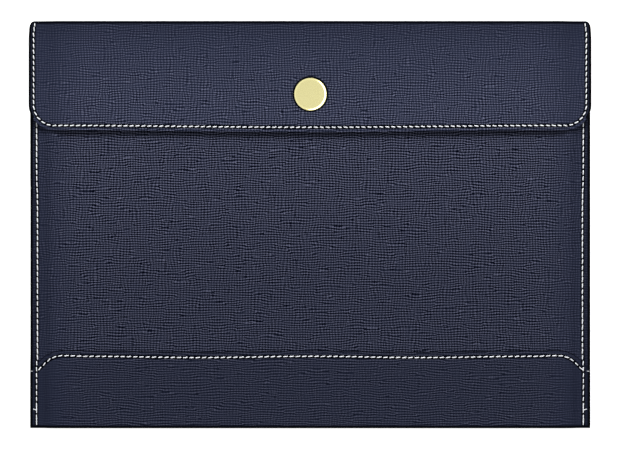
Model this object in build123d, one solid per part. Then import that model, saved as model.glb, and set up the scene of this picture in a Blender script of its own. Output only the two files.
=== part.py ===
from build123d import *
import os
from math import asin, atan, cos, pi, sin, sqrt

# Document wallet for A4 sheets, sewn from faux leather, with a flap that closes on a magnetic snap.
# It lies on its back: X runs across, Y towards the top fold, Z out of the front face, in millimetres.
# The origin is the middle of the back's outer face.

# Overall sizes
body_width = 330.0
body_height = 240.0
flap_length = 64.4
flap_overhang = 0.6
flap_corner_radius = 15.0
flap_top_corner_radius = 1.6
band_height = 44.8
band_corner_radius = 21.3
band_blank_overhang = 1.3

# Sheets: the outer skin, the interlining that stiffens it and the cloth lining
skin_thickness = 1.0
interlining_thickness = 0.5
lining_thickness = 0.3

# Pocket, and the rise of the front from its sewn side margins to its raised middle
pocket_gap = 5.0
seam_margin = 4.5
front_ramp_run = 11.0
mouth_drop = 12.0
tuck_clearance = 1.2

# Flap, whose sides droop below its middle
flap_margin = 6.0
flap_ramp_run = 16.0
flap_droop = 4.5

# Folds, measured on the outer face, and the slit between the pieces that a fold joins
top_fold_radius = 2.0
bottom_fold_radius = 2.0
fold_slit = 0.1

# Thread and stitches
thread_width = 0.8
thread_thickness = 0.5
thread_stand = 0.25
stitch_length = 2.9
fold_stitch_length = 1.4
stitch_pitch = 3.5
row_end_clearance = 2.4
flap_row_inset = 2.75
band_row_inset = 2.4
seam_row_inset = 3.8
seam_end_inset = 1.3
tack_clearance = 0.3
tack_stand = 0.3
upper_tack_height = 33.6
lower_tack_height = 11.0

# Magnetic snap, on the middle line
snap_drop = 43.2
snap_disc_diameter = 17.0
cap_diameter = 19.5
cap_face_diameter = 16.0
cap_height = 1.3
cap_edge_height = 0.3
post_diameter = 3.8
post_clearance = 0.05
clinch_diameter = 5.2
clinch_height = 0.3
case_height = 1.7
case_base = 0.3
case_wall = 0.35
magnet_bore_diameter = 6.8
magnet_clearance = 0.05
magnet_recess = 0.1
keeper_thickness = 0.7
keeper_boss_foot_diameter = 5.8
keeper_boss_tip_diameter = 5.2
keeper_boss_height = 0.9
keeper_clearance = 0.1
rivet_head_diameter = 9.0
rivet_head_height = 0.4
rivet_head_round = 0.2
rivet_shank_diameter = 3.2
rivet_grip = 1.1

# Cuts run past what they cut by this much
overrun = 5.0

# Levels and places worked out from the sizes above
half_body = body_width / 2
half_flap = half_body + flap_overhang
top_y = body_height / 2
bottom_y = -body_height / 2
stack = skin_thickness + interlining_thickness + lining_thickness
front_margin_z = 2 * stack
front_crown_z = front_margin_z + pocket_gap
snap_stack = keeper_thickness + keeper_clearance + case_height
flap_crown_z = front_crown_z + snap_stack + stack
flap_margin_z = flap_crown_z - flap_droop
mouth_y = top_y - mouth_drop
tuck_y = bottom_y + skin_thickness + tuck_clearance
bottom_fold_y = bottom_y + bottom_fold_radius
fold_start_y = top_y - top_fold_radius
flap_edge_y = top_y - flap_length
band_edge_y = bottom_y + band_height
snap_y = top_y - snap_drop
seam_x = half_body - seam_row_inset
band_corner_x = half_body + band_blank_overhang - band_corner_radius


class CrownedSection:
    """Section of a sheet across the wallet: flat margins, two tangent arcs up each side, a flat crown."""

    def __init__(self, half_width, margin, ramp_run, margin_z, crown_z):
        self.half_width = half_width
        self.margin_x = half_width - margin
        self.crown_x = self.margin_x - ramp_run
        self.margin_z = margin_z
        self.crown_z = crown_z
        self.turn = 2 * atan((crown_z - margin_z) / ramp_run)
        self.radius = ramp_run / (2 * sin(self.turn))

    def low_arc_point(self, offset, turn):
        """Point on the hollow arc beside the margin, after this turn from level."""
        radius = self.radius - offset
        return self.margin_x - radius * sin(turn), self.margin_z + self.radius - radius * cos(turn)

    def high_arc_point(self, offset, turn):
        """Point on the round arc beside the crown, at this turn from level."""
        radius = self.radius + offset
        return self.crown_x + radius * sin(turn), self.crown_z - self.radius + radius * cos(turn)

    def slope_at(self, x, offset):
        """Turn from level of the face at x, as an angle."""
        across = abs(x)
        if across >= self.margin_x or across <= self.crown_x:
            return 0.0
        meeting_x = self.low_arc_point(offset, self.turn)[0]
        if across >= meeting_x:
            sine = (self.margin_x - across) / (self.radius - offset)
        else:
            sine = (across - self.crown_x) / (self.radius + offset)
        return asin(sine)

    def height_at(self, x, offset):
        """Height of the face at x."""
        across = abs(x)
        if across >= self.margin_x:
            return self.margin_z + offset
        if across <= self.crown_x:
            return self.crown_z + offset
        turn = self.slope_at(x, offset)
        if across >= self.low_arc_point(offset, self.turn)[0]:
            return self.low_arc_point(offset, turn)[1]
        return self.high_arc_point(offset, turn)[1]

    def face_edges(self, offset, reach):
        """Edges of the face from -reach to +reach, at this offset out of the section's own face."""
        half_turn = self.turn / 2
        low = [self.low_arc_point(offset, turn) for turn in (0.0, half_turn, self.turn)]
        high = [self.high_arc_point(offset, turn) for turn in (self.turn, half_turn, 0.0)]
        side_end = (reach, self.margin_z + offset)
        right = [[side_end, low[0]], low, high]
        left = [[(-x, z) for x, z in run] for run in right]
        runs = left + [[left[-1][-1], right[-1][-1]]] + right
        return [Line(*run) if len(run) == 2 else ThreePointArc(*run) for run in runs]

    def layer(self, outer_offset, inner_offset, start_y, end_y):
        """Sheet between two offsets, from start_y to the greater end_y."""
        reach = self.half_width
        outer_z = self.margin_z + outer_offset
        inner_z = self.margin_z + inner_offset
        ends = [Line((x, outer_z), (x, inner_z)) for x in (-reach, reach)]
        edges = self.face_edges(outer_offset, reach) + self.face_edges(inner_offset, reach) + ends
        return run_along_y(edges, start_y, end_y)

    def hull(self, offset, floor_z, reach, start_y, end_y):
        """Solid under the face at this offset, down to floor_z."""
        ends = [Line((x, self.margin_z + offset), (x, floor_z)) for x in (-reach, reach)]
        floor = Line((-reach, floor_z), (reach, floor_z))
        return run_along_y(self.face_edges(offset, reach) + ends + [floor], start_y, end_y)


def run_along_y(edges, start_y, end_y):
    """Solid with this section, drawn as x and z, from start_y to end_y."""
    section = Plane(origin=(0, end_y, 0), x_dir=(1, 0, 0), z_dir=(0, -1, 0)) * make_face(edges)
    return extrude(section, amount=end_y - start_y)


def fold_edges(solid, end):
    """Edges of a hull's first or last end along Y, without the two upright ones at its sides."""
    return solid.edges().group_by(Axis.Y)[end].filter_by(Axis.Z, reverse=True)


def plate(width, start_y, end_y, bottom_z, thickness):
    """Flat sheet across the wallet."""
    middle = (0, (start_y + end_y) / 2, bottom_z + thickness / 2)
    return Pos(*middle) * Box(width, end_y - start_y, thickness)


def upright(outline, bottom_z, top_z):
    """Plan outline raised from bottom_z to top_z."""
    return extrude(Pos(0, 0, bottom_z) * outline, amount=top_z - bottom_z)


def round_hole(diameter):
    """Cut for a post through the sheets at the snap."""
    return Pos(0, snap_y, 0) * Cylinder(diameter / 2, 2 * (flap_crown_z + overrun))


def turned(points, arc=None):
    """Solid turned about the snap's axis from a closed outline of radius and height."""
    outline = [Line(a, b) for a, b in zip(points, points[1:] + points[:1]) if (a, b) != arc]
    if arc:
        outline.append(TangentArc(*arc, tangent=(1, 0)))
    section = Plane.XZ * make_face(outline)
    return Pos(0, snap_y, 0) * revolve(section, Axis.Z)


front_section = CrownedSection(half_body, seam_margin, front_ramp_run, front_margin_z, front_crown_z)
flap_section = CrownedSection(half_flap, flap_margin, flap_ramp_run, flap_margin_z, flap_crown_z)


# Plan outlines

def flap_outline():
    """Plan of the flap and top fold: large round lower corners, tight upper ones."""
    outline = Pos(0, top_y - flap_length / 2) * Rectangle(2 * half_flap, flap_length)
    outline = fillet(outline.vertices().group_by(Axis.Y)[0], flap_corner_radius)
    return fillet(outline.vertices().group_by(Axis.Y)[-1], flap_top_corner_radius)


def band_outline():
    """Plan of the band, cut from a blank that is wider than the body, so its corners run out at the sides."""
    width = body_width + 2 * band_blank_overhang
    outline = Pos(0, (bottom_y + band_edge_y - overrun) / 2) * Rectangle(width, band_height + overrun)
    return fillet(outline.vertices().group_by(Axis.Y)[-1], band_corner_radius)


# Sheets of the pocket

def back_cover():
    """Outer skin of the back, between the bottom fold and the top fold."""
    return plate(body_width, bottom_fold_y, fold_start_y - fold_slit, 0, skin_thickness)


def bottom_fold():
    """Outer skin where it goes round the bottom, from the back to the band."""
    outer = front_section.hull(skin_thickness, 0, half_body, bottom_y, bottom_fold_y + overrun)
    outer = fillet(fold_edges(outer, 0), bottom_fold_radius)
    inner_y = bottom_y + skin_thickness
    inner = front_section.hull(0, skin_thickness, half_body + overrun, inner_y, bottom_fold_y + overrun)
    inner = fillet(fold_edges(inner, 0), bottom_fold_radius - skin_thickness)
    return (outer - inner) & plate(body_width, bottom_y, bottom_fold_y, 0, flap_crown_z)


def front_band():
    """Outer skin that has come round the bottom and lies over the foot of the front."""
    band = front_section.layer(skin_thickness, 0, bottom_fold_y, band_edge_y)
    return band & upright(band_outline(), 0, flap_crown_z)


def back_sheet(bottom_z, thickness):
    """Flat sheet inside the back cover."""
    return plate(body_width, tuck_y, fold_start_y - fold_slit, bottom_z, thickness)


def front_sheet(depth, thickness):
    """Crowned sheet of the front, this deep under its outer face, pierced for the rivet."""
    sheet = front_section.layer(-depth, -depth - thickness, tuck_y, mouth_y)
    return sheet - round_hole(rivet_shank_diameter + 2 * post_clearance)


# Sheets of the top fold and the flap

def fold_sheet(depth, thickness):
    """Strip of the top fold, this deep under its outer face: a wall between two quarter rounds."""
    start_y = fold_start_y - overrun
    skins = []
    for inset, reach in ((depth, half_flap), (depth + thickness, half_flap + overrun)):
        end_y = top_y - inset
        hull = flap_section.hull(-inset, inset, reach, start_y, end_y)
        skins.append(fillet(fold_edges(hull, -1), top_fold_radius - inset))
    strip = skins[0] - skins[1]
    sides = Polyline(
        (-half_body, 0), (half_body, 0), (half_flap, flap_crown_z), (-half_flap, flap_crown_z), close=True
    )
    strip &= run_along_y(sides, fold_start_y, top_y + overrun)
    return strip & upright(flap_outline(), -overrun, flap_crown_z + overrun)


def flap_sheet(depth, thickness):
    """Crowned sheet of the flap, this deep under its outer face, pierced for the cap's post."""
    sheet = flap_section.layer(
        -depth, -depth - thickness, flap_edge_y - overrun, fold_start_y - fold_slit
    )
    sheet &= upright(flap_outline(), 0, flap_crown_z + overrun)
    return sheet - round_hole(post_diameter + 2 * post_clearance)


# Stitches

def stitch(point, tangent, normal, depth, length=stitch_length):
    """One lockstitch: a closed loop of thread, with a bar on each face of the sewn sheets."""
    height = depth + thread_stand
    loop = Rectangle(length, height) - Rectangle(length - 2 * thread_thickness, height - 2 * thread_thickness)
    plane = Plane(origin=point, x_dir=tangent, z_dir=tangent.cross(normal))
    return extrude(plane * Pos(0, height / 2 - depth) * loop, amount=thread_width / 2, both=True)


def row_of_stitches(path, section, offset, depth):
    """Stitches at an even pitch along a plan path, on a section's face."""
    count = round(path.length / stitch_pitch)
    pitch = path.length / count
    stitches = []
    for number in range(count):
        along = (number + 1 / 2) * pitch
        place = path.position_at(along, position_mode=PositionMode.LENGTH)
        heading = path.tangent_at(along, position_mode=PositionMode.LENGTH)
        slope = section.slope_at(place.X, offset) * (1 if place.X > 0 else -1)
        point = Vector(place.X, place.Y, section.height_at(place.X, offset))
        tangent = Vector(heading.X * cos(slope), heading.Y, -heading.X * sin(slope)).normalized()
        normal = Vector(sin(slope), 0, cos(slope))
        stitches.append(stitch(point, tangent, normal, depth))
    return stitches


def flap_stitches():
    """Row round the three free edges of the flap."""
    side_x = half_flap - flap_row_inset
    row_y = flap_edge_y + flap_row_inset
    start_y = fold_start_y - fold_slit
    corners = [(-side_x, start_y), (-side_x, row_y), (side_x, row_y), (side_x, start_y)]
    path = FilletPolyline(*corners, radius=flap_corner_radius - flap_row_inset)
    return row_of_stitches(path, flap_section, 0, stack)


def band_stitches():
    """Row along the band's upper edge, which dies out at the side seams."""
    radius = band_corner_radius - band_row_inset
    row_y = band_edge_y - band_row_inset
    end_x = seam_x - thread_width / 2 - row_end_clearance
    end_turn = asin((end_x - band_corner_x) / radius)
    turns = (0, end_turn / 2, end_turn)
    right = [(band_corner_x + radius * sin(turn), row_y - radius + radius * cos(turn)) for turn in turns]
    left = [(-x, y) for x, y in reversed(right)]
    path = Wire([ThreePointArc(*left), Line(left[-1], right[0]), ThreePointArc(*right)])
    return row_of_stitches(path, front_section, skin_thickness, skin_thickness + stack)


def seam_stitches(side):
    """Row down one side, through whatever sheets lie there, and the two tacks over that side's edge."""
    start_y = bottom_y + seam_end_inset
    count = int((fold_start_y - fold_slit - start_y) / stitch_pitch)
    band_rise = sqrt(band_corner_radius ** 2 - (seam_x - band_corner_x) ** 2)
    band_top_y = band_edge_y - band_corner_radius + band_rise
    along, upward = Vector(0, 1, 0), Vector(0, 0, 1)
    stitches = []
    for number in range(count):
        y = start_y + number * stitch_pitch + stitch_length / 2
        reach = y + stitch_length / 2
        depth = front_margin_z if reach < mouth_y else stack
        if reach < band_top_y:
            depth += skin_thickness
        stitches.append(stitch(Vector(side * seam_x, y, depth), along, upward, depth))
    inner_x = seam_x + thread_width / 2 + tack_clearance
    outer_x = half_body + tack_stand
    for height in (upper_tack_height, lower_tack_height):
        depth = front_margin_z + skin_thickness
        point = Vector(side * (inner_x + outer_x) / 2, bottom_y + height, depth)
        stitches.append(stitch(point, Vector(side, 0, 0), upward, depth, outer_x - inner_x))
    return stitches


def top_fold_stitches():
    """The few stitches that carry each side's row round the top fold."""
    side_x = half_flap - flap_row_inset
    depth = skin_thickness + lining_thickness
    inset = top_fold_radius * (1 - cos(pi / 4))
    outward, upward = Vector(0, 1, 0), Vector(0, 0, 1)
    places = [
        (top_y - inset, inset, outward - upward, fold_stitch_length),
        (top_y, flap_margin_z / 2, outward, stitch_length),
        (top_y - inset, flap_margin_z - inset, outward + upward, fold_stitch_length),
    ]
    stitches = []
    for side in (-1, 1):
        for y, z, normal, length in places:
            out = normal.normalized()
            tangent = Vector(1, 0, 0).cross(out)
            stitches.append(stitch(Vector(side * side_x, y, z), tangent, out, depth, length))
    return stitches


# Magnetic snap

def snap_cap():
    """Pressed cap on the flap's face, with the post that is clinched inside the magnet's case."""
    top_z = flap_crown_z + cap_height
    edge_z = flap_crown_z + cap_edge_height
    lining_z = flap_crown_z - stack
    clinch_z = lining_z - case_base
    end_z = clinch_z - clinch_height
    rim = ((cap_face_diameter / 2, top_z), (cap_diameter / 2, edge_z))
    outline = [
        (0, top_z),
        *rim,
        (cap_diameter / 2, flap_crown_z),
        (post_diameter / 2, flap_crown_z),
        (post_diameter / 2, clinch_z),
        (clinch_diameter / 2, clinch_z),
        (clinch_diameter / 2, end_z),
        (0, end_z),
    ]
    return turned(outline, rim)


def snap_magnet_case():
    """Shallow cup under the flap that holds the magnet."""
    base_z = flap_crown_z - stack
    lip_z = base_z - case_height
    floor_z = base_z - case_base
    bore = post_diameter / 2 + post_clearance
    inner = snap_disc_diameter / 2 - case_wall
    return turned(
        [
            (bore, base_z),
            (snap_disc_diameter / 2, base_z),
            (snap_disc_diameter / 2, lip_z),
            (inner, lip_z),
            (inner, floor_z),
            (bore, floor_z),
        ]
    )


def snap_magnet():
    """Ring magnet in the case."""
    top_z = flap_crown_z - stack - case_base
    lip_z = flap_crown_z - stack - case_height + magnet_recess
    outer = snap_disc_diameter / 2 - case_wall - magnet_clearance
    bore = magnet_bore_diameter / 2
    return turned([(bore, top_z), (outer, top_z), (outer, lip_z), (bore, lip_z)])


def snap_keeper():
    """Steel plate on the front, with the boss that enters the magnet."""
    plate_z = front_crown_z + keeper_thickness
    tip_z = plate_z + keeper_boss_height
    bore = rivet_shank_diameter / 2 + post_clearance
    bore_z = front_crown_z + rivet_grip
    return turned(
        [
            (bore, front_crown_z),
            (snap_disc_diameter / 2, front_crown_z),
            (snap_disc_diameter / 2, plate_z),
            (keeper_boss_foot_diameter / 2, plate_z),
            (keeper_boss_tip_diameter / 2, tip_z),
            (0, tip_z),
            (0, bore_z),
            (bore, bore_z),
        ]
    )


def snap_keeper_rivet():
    """Rivet that holds the keeper, with its flat head inside the pocket."""
    head_z = front_crown_z - stack
    end_z = head_z - rivet_head_height
    tip_z = front_crown_z + rivet_grip
    shank = rivet_shank_diameter / 2
    head = rivet_head_diameter / 2
    rivet = turned([(0, end_z), (head, end_z), (head, head_z), (shank, head_z), (shank, tip_z), (0, tip_z)])
    rim = rivet.edges().group_by(Axis.Z)[0]
    return fillet(rim, rivet_head_round)


# Depth of each layer under the outer face
interlining_depth = skin_thickness
lining_depth = skin_thickness + interlining_thickness

parts = {
    "back_cover": back_cover(),
    "bottom_fold": bottom_fold(),
    "front_band": front_band(),
    "back_interlining": back_sheet(interlining_depth, interlining_thickness),
    "back_lining": back_sheet(lining_depth, lining_thickness),
    "front_panel": front_sheet(0, skin_thickness),
    "front_interlining": front_sheet(interlining_depth, interlining_thickness),
    "front_lining": front_sheet(lining_depth, lining_thickness),
    "top_fold": fold_sheet(0, skin_thickness),
    "top_fold_lining": fold_sheet(skin_thickness, lining_thickness),
    "flap_cover": flap_sheet(0, skin_thickness),
    "flap_interlining": flap_sheet(interlining_depth, interlining_thickness),
    "flap_lining": flap_sheet(lining_depth, lining_thickness),
    "flap_stitches": Compound(flap_stitches()),
    "band_stitches": Compound(band_stitches()),
    "left_seam_stitches": Compound(seam_stitches(-1)),
    "right_seam_stitches": Compound(seam_stitches(1)),
    "top_fold_stitches": Compound(top_fold_stitches()),
    "snap_cap": snap_cap(),
    "snap_magnet_case": snap_magnet_case(),
    "snap_magnet": snap_magnet(),
    "snap_keeper": snap_keeper(),
    "snap_keeper_rivet": snap_keeper_rivet(),
}

os.makedirs("parts", exist_ok=True)
for name, shape in parts.items():
    export_step(shape, f"parts/{name}.step")
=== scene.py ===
import random
from functools import partial
from math import asin, atan, atan2, ceil, copysign, cos, pi, radians, sin, sqrt, tan

import bmesh
import bpy
from mathutils import Matrix, Vector
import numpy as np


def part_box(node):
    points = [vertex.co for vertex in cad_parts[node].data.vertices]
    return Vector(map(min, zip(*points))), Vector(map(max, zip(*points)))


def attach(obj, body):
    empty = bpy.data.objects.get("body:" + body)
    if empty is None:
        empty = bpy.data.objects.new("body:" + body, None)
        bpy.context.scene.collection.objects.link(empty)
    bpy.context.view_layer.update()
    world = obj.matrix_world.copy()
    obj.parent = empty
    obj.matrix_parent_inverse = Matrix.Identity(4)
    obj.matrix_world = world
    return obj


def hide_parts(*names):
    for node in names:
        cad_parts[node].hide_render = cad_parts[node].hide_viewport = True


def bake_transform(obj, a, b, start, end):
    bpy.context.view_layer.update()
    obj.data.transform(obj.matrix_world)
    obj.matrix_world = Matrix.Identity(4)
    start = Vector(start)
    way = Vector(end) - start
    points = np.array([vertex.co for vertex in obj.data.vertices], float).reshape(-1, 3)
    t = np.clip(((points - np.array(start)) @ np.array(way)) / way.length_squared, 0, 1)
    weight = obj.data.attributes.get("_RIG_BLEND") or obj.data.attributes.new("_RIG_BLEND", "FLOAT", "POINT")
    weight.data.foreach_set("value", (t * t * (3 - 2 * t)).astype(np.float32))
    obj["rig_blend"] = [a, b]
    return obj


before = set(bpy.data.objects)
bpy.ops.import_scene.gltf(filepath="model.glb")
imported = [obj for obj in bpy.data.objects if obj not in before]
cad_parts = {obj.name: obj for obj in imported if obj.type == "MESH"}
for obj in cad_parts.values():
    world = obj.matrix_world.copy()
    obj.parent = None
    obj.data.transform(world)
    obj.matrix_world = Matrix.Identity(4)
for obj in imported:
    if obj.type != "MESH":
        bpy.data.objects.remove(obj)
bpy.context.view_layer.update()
print("frame loaded:", len(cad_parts), "nodes")

mm = 0.001
near = 0.02 * mm  # two points this close are at one place
sliver = 0.09 * mm  # points this close in a sheet are merged before it is thickened
speck = 0.012 * mm  # and points this close after it
up = Vector((0, 0, 1))
random.seed(7)

# Where the frame puts the sheets
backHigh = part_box("back_cover")[1]
bottomLow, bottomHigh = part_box("bottom_fold")
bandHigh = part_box("front_band")[1]
frontLow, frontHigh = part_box("front_panel")
foldLow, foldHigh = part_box("top_fold")
flapLow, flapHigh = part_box("flap_cover")
liningLow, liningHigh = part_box("back_lining")
capLow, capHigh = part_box("snap_cap")
skin = backHigh.z  # thickness of the faux leather
stack = liningHigh.z  # leather, board and lining together
halfBody = backHigh.x
halfFlap = flapHigh.x
topY = foldHigh.y
foldStartY = foldLow.y
foldRadius = topY - foldStartY
bottomFoldRadius = bottomHigh.y - bottomLow.y
spineMiddleZ = (flapLow.z + skin) / 2  # the two leather pieces meet here on the spine
snapPlace = Vector((0, (capLow.y + capHigh.y) / 2, 0))


# Working by hand: what is taken up, what is selected, and what is done point by point

def enter(mode):
    bpy.ops.object.mode_set(mode=mode)


def selectAll():  # in edit mode
    bpy.ops.mesh.select_all(action="SELECT")


def settle():  # the piece keeps its place and gives up its own transform
    bpy.ops.object.transform_apply(location=True, rotation=True, scale=True)


def deselectAll():
    if bpy.context.object and bpy.context.object.mode != "OBJECT":
        enter("OBJECT")
    bpy.ops.object.select_all(action="DESELECT")


def applyAll(piece):
    deselectAll()
    piece.select_set(True)
    bpy.context.view_layer.objects.active = piece
    for modifier in list(piece.modifiers):
        bpy.ops.object.modifier_apply(modifier=modifier.name)


def selectAt(piece, axis, place):  # in edit mode, the points at one place along an axis
    bpy.ops.mesh.select_mode(type="VERT")
    bpy.ops.mesh.select_all(action="DESELECT")
    mesh = bmesh.from_edit_mesh(piece.data)
    for vert in mesh.verts:
        if abs(getattr(vert.co, axis) - place) < near:
            vert.select_set(True)
    mesh.select_flush_mode()
    bmesh.update_edit_mesh(piece.data)


def reshape(piece, change):  # in edit mode; the layer says how far a row of stitches presses each point
    mesh = bmesh.from_edit_mesh(piece.data)
    layer = mesh.verts.layers.float["pressed"]
    for vert in mesh.verts:
        change(vert, layer)
    bmesh.update_edit_mesh(piece.data)


def layValues(piece, name, kind, valueOf):  # an attribute that a material reads
    field = "vector" if kind == "FLOAT_VECTOR" else "value"
    layer = piece.data.attributes.new(name, kind, "POINT").data
    for index, vert in enumerate(piece.data.vertices):
        setattr(layer[index], field, valueOf(vert.co))


def mergeWithin(distance):
    selectAll()
    bpy.ops.mesh.remove_doubles(threshold=distance)


def roundEdges(piece, width, segments, sharp):  # every edge sharper than that angle
    edge = piece.modifiers.new("rounding", "BEVEL")
    edge.width = width
    edge.segments = segments
    edge.limit_method = "ANGLE"
    edge.angle_limit = radians(sharp)
    return edge


def easeBetween(value, low, high):
    share = min(1.0, max(0.0, (value - low) / (high - low)))
    return share * share * (3 - 2 * share)


# The section that the pocket's front and the flap share: flat margins, a rise in two arcs, a flat middle

def risingSection(halfWidth, margin, rampRun, rampSteps, marginZ, crownZ):
    turn = 2 * atan((crownZ - marginZ) / rampRun)
    return dict(marginX=halfWidth - margin, crownX=halfWidth - margin - rampRun, marginZ=marginZ,
                crownZ=crownZ, turn=turn, radius=rampRun / (2 * sin(turn)), halfWidth=halfWidth,
                rampSteps=rampSteps, crownSteps=24)


def riseAt(section, x, offset=0.0):  # height and slope of that sheet's face at x
    across = abs(x)
    if across >= section["marginX"]:
        return section["marginZ"] + offset, 0.0
    if across <= section["crownX"]:
        return section["crownZ"] + offset, 0.0
    lowRadius = section["radius"] - offset
    highRadius = section["radius"] + offset
    if across >= section["marginX"] - lowRadius * sin(section["turn"]):
        slope = asin((section["marginX"] - across) / lowRadius)
        height = section["marginZ"] + section["radius"] - lowRadius * cos(slope)
    else:
        slope = asin((across - section["crownX"]) / highRadius)
        height = section["crownZ"] - section["radius"] + highRadius * cos(slope)
    return height, copysign(slope, x)


def columnsOf(section):  # where a sheet is cut so that it can follow its section
    rampSteps, crownSteps = section["rampSteps"], section["crownSteps"]
    half = []
    for step in range(rampSteps + 1):
        half.append(section["crownX"] + (section["marginX"] - section["crownX"]) * step / rampSteps)
    crown = [section["crownX"] * (2 * step / crownSteps - 1) for step in range(1, crownSteps)]
    return sorted([-x for x in half] + crown + half)


pocketSection = risingSection(halfBody, margin=4.5 * mm, rampRun=11 * mm, rampSteps=10,
                              marginZ=frontLow.z + skin, crownZ=frontHigh.z)
flapSection = risingSection(halfFlap, margin=6 * mm, rampRun=16 * mm, rampSteps=12,
                            marginZ=flapLow.z + skin, crownZ=flapHigh.z)


# Cutting sheets

edgeSlot = 2  # the third material of a sheet is on its edges
creaseRows = [foldStartY - reach for reach in (0.6 * mm, 1.2 * mm, 2.5 * mm)]  # by a crease


def newSheet(name, half, lowY, highY, *materials):  # a plane of that half width, left in edit mode
    deselectAll()
    bpy.ops.mesh.primitive_plane_add(size=1, location=(0, (lowY + highY) / 2, 0))
    piece = bpy.context.object
    piece.name = piece.data.name = name
    piece.scale = (2 * half, highY - lowY, 1)
    settle()
    dress(piece, *materials)  # outer face, inner face and edge
    enter("EDIT")
    bmesh.from_edit_mesh(piece.data).verts.layers.float.new("pressed")
    return piece


def roundCorners(piece, y, radius, steps):
    selectAt(piece, "y", y)
    bpy.ops.mesh.bevel(offset_type="OFFSET", offset=radius, segments=steps, affect="VERTICES", profile=0.5)


def markPressed(piece, test, amount=1.0):  # where a row of stitches draws the sheet in, and where painted shade goes
    def press(vert, layer):
        if test(vert):
            vert[layer] = amount

    reshape(piece, press)


def paintWhere(piece, test):  # edge paint, on the faces that pass
    mesh = bmesh.from_edit_mesh(piece.data)
    for face in mesh.faces:
        if test(face, face.calc_center_median()):
            face.material_index = edgeSlot
    bmesh.update_edit_mesh(piece.data)


def insetRow(piece, lap, rowInset, grooveHalf, paintFrom):  # a lap, painted above that y, and a row's groove
    bpy.ops.mesh.select_mode(type="FACE")
    selectAll()
    done = 0.0
    for reach in (lap, rowInset - grooveHalf, rowInset, rowInset + grooveHalf):
        bpy.ops.mesh.inset(thickness=reach - done, use_boundary=True, use_even_offset=True)
        done = reach
        if reach == lap:
            paintWhere(piece, lambda face, middle: not face.select and middle.y > paintFrom)
        markPressed(piece, lambda vert: vert.select, float(reach == rowInset))


def cutAcross(direction, places, **clear):
    for place in places:
        selectAll()
        bpy.ops.mesh.bisect(plane_co=direction * place, plane_no=direction, threshold=near, **clear)


cutColumns = partial(cutAcross, Vector((1, 0, 0)))
cutRows = partial(cutAcross, Vector((0, 1, 0)))


def evenRows(low, high, spacing):
    count = max(1, round((high - low) / spacing))
    return [low + (high - low) * step / count for step in range(1, count)]


swellShape = dict(height=0.12 * mm, fadePower=8, waves=((31 * mm, 52 * mm, 0.0), (-83 * mm, 37 * mm, 1.3)))


def swellAt(x, y, halfWidth):  # leather never lies dead flat
    s = swellShape
    fade = max(0.0, 1 - (x / halfWidth) ** s["fadePower"])
    waves = [sin(x / across + y / along + start) for across, along, start in s["waves"]]
    return s["height"] * fade * sum(waves)


def liftTo(piece, section, offset, grooveDepth=0.0, swell=True):
    def lift(vert, layer):
        x, y = vert.co.x, vert.co.y
        vert.co.z = riseAt(section, x, offset)[0] - grooveDepth * vert[layer]
        if swell:
            vert.co.z += swellAt(x, y, section["halfWidth"])

    reshape(piece, lift)


def nudge(piece, shiftAt):  # small shifts along X and Y
    def shift(vert, layer):
        vert.co.xy += Vector(shiftAt(vert.co.x, vert.co.y))

    reshape(piece, shift)


def extrudeBy(move):
    bpy.ops.mesh.extrude_region_move(TRANSFORM_OT_translate={"value": move})


def extrudeTo(height):  # straight up or down to one level
    extrudeBy((0, 0, 0))
    bpy.ops.transform.resize(value=(1, 1, 0), center_override=(0, 0, height))


def extrudeRound(radius, outY, outZ, steps, startsLevel):  # a quarter turn from along Y to along Z, or back
    angles = [pi / 2 * step / steps for step in range(steps + 1)]
    for last, now in zip(angles, angles[1:]):
        along, across = sin(now) - sin(last), cos(last) - cos(now)
        if not startsLevel:
            along, across = across, along
        extrudeBy((0, outY * radius * along, outZ * radius * across))


topEnds = dict(cornerRadius=2.4 * mm, flare=-0.2 * mm)  # the fold's ends, narrower at the flap


def tuckCorners(piece, innerX, middleX=0.0):  # rounds the ends of the top fold
    radius = topEnds["cornerRadius"]

    def tuck(vert, layer):
        past = vert.co.y - (topY - radius)
        out = vert.co.x - middleX
        if past <= 0 or abs(out) <= innerX:
            return
        half = halfBody + topEnds["flare"] * vert.co.z / flapHigh.z
        limit = half - radius + sqrt(max(0.0, radius ** 2 - past ** 2))
        share = (abs(out) - innerX) / (half - innerX)
        vert.co.x = middleX + copysign(innerX + (limit - innerX) * min(1.0, share), out)

    reshape(piece, tuck)


def faceOutwards(piece, direction, test=lambda middle: True):  # turns the sheet over if those faces look away
    mesh = bmesh.from_edit_mesh(piece.data)
    mesh.normal_update()
    total = sum(face.normal.dot(direction) for face in mesh.faces if test(face.calc_center_median()))
    if total < 0:
        selectAll()
        bpy.ops.mesh.flip_normals()


def thicken(piece, thickness, rounding):
    mergeWithin(sliver)
    bpy.ops.mesh.dissolve_degenerate(threshold=sliver)
    enter("OBJECT")
    wall = piece.modifiers.new("thickness", "SOLIDIFY")
    wall.thickness = thickness
    wall.offset = -1
    wall.use_even_offset = True
    wall.material_offset = 1
    wall.material_offset_rim = edgeSlot
    roundEdges(piece, rounding, segments=2, sharp=55).use_clamp_overlap = False
    applyAll(piece)
    enter("EDIT")
    mergeWithin(speck)  # rounding can fold a sharp inner corner into specks
    enter("OBJECT")
    bpy.ops.object.shade_smooth_by_angle(angle=radians(50))


def layGrain(piece, placeOf, depthOf, shadeOf):  # the sheet's own flat coordinates, grain depth and painted shade
    layValues(piece, "grainPlace", "FLOAT_VECTOR", placeOf)
    layValues(piece, "grainDepth", "FLOAT_VECTOR", lambda co: (*depthOf(co), 0))
    layValues(piece, "burnished", "FLOAT", shadeOf)


# Colours and nodes

def tint(code):  # an sRGB hex colour, made linear
    parts = [int(code[spot:spot + 2], 16) / 255 for spot in (1, 3, 5)]
    linear = [part / 12.92 if part <= 0.04045 else ((part + 0.055) / 1.055) ** 2.4 for part in parts]
    return (*linear, 1.0)


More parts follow.
